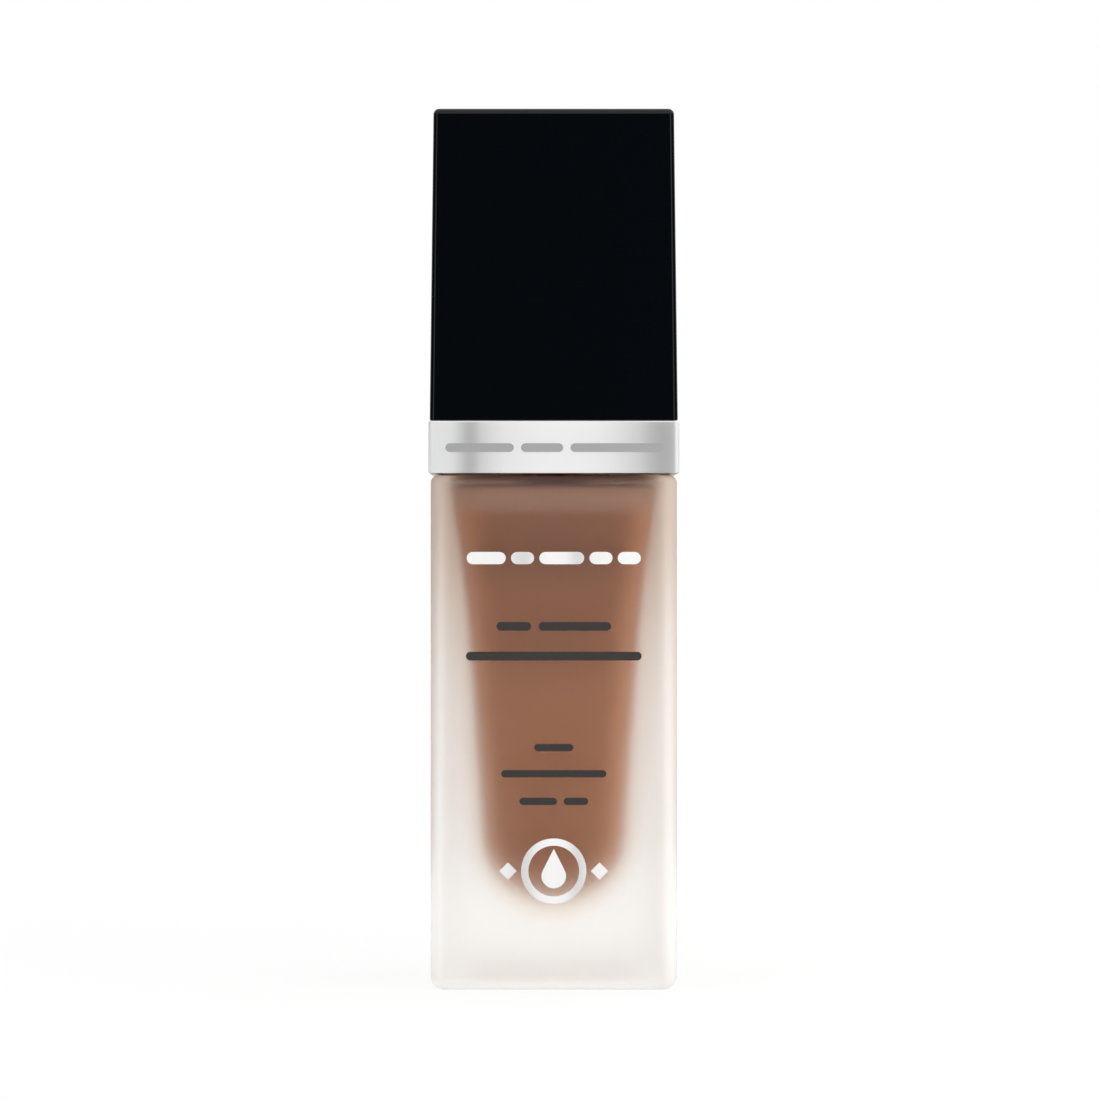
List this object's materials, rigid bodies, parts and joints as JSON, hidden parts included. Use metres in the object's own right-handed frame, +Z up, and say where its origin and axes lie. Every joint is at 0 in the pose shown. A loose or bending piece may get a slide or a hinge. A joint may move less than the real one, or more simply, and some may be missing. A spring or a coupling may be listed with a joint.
{
  "type": "foundation bottle",
  "caption": "Square frosted-glass cosmetic bottle filled with liquid foundation, with a metallised collar, a treatment pump and a tall black pull-off overcap.",
  "frame": {"origin": "centre of the base, on the plane that the bottle stands on", "axes": "+Z up through the pump's axis, the printed front faces -Y, +X to the viewer's right of the front"},
  "size_m": [0.0346, 0.0346, 0.1216],
  "materials": {
    "frosted_glass": "acid-etched, satin",
    "liquid_foundation": "opaque creamy liquid, wet",
    "silver_foil": "hot-stamped bright foil",
    "dark_ink": "screen-printed ink",
    "grey_ink": "screen-printed ink",
    "foam_gasket": "closed-cell foam",
    "natural_plastic": "natural polypropylene",
    "clear_tube": "translucent polyethylene",
    "stainless_steel": "bright drawn",
    "black_plastic": "moulded satin",
    "black_gloss": "high gloss",
    "metallised_plastic": "vacuum-metallised silver, satin lacquer"
  },
  "bodies": {
    "root": {"bottle": "frosted_glass", "foundation": "liquid_foundation", "foil_print": "silver_foil", "ink_print": "dark_ink", "neck_gasket": "foam_gasket", "pump_housing": "natural_plastic", "dip_tube": "clear_tube", "return_spring": "stainless_steel", "stem_guide": "natural_plastic", "snap_closure": "black_plastic", "collar_tower": "black_plastic", "silver_band": "metallised_plastic", "band_print": "grey_ink"},
    "overcap": {"overcap_shell": "black_gloss", "overcap_liner": "black_plastic"},
    "plunger": {"stem": "black_plastic", "poppet": "natural_plastic"},
    "pump_head": {"head_core": "black_plastic", "head_shell": "black_gloss", "nozzle": "black_gloss"},
    "piston": {"piston": "natural_plastic"},
    "inlet_ball": {"inlet_ball": "stainless_steel"}
  },
  "joints": [
    {"name": "overcap_lift", "type": "slide", "parent": "root", "child": "overcap", "axis": [0, 0, 1], "range_m": [0, 0.045]},
    {"name": "pump_stroke", "type": "slide", "parent": "root", "child": "plunger", "axis": [0, 0, -1], "range_m": [0, 0.0046], "stiffness_N_per_m": 1200, "springref_m": -0.003, "deforming": ["return_spring"]},
    {"name": "head_turn", "type": "hinge", "parent": "plunger", "child": "pump_head", "pos_m": [0, 0, 0.097], "axis": [0, 0, 1], "continuous": true},
    {"name": "piston_lost_motion", "type": "slide", "parent": "plunger", "child": "piston", "axis": [0, 0, 1], "range_m": [0, 0.0005]},
    {"name": "inlet_valve", "type": "slide", "parent": "root", "child": "inlet_ball", "axis": [0, 0, 1], "range_m": [0, 0.0011]}
  ]
}
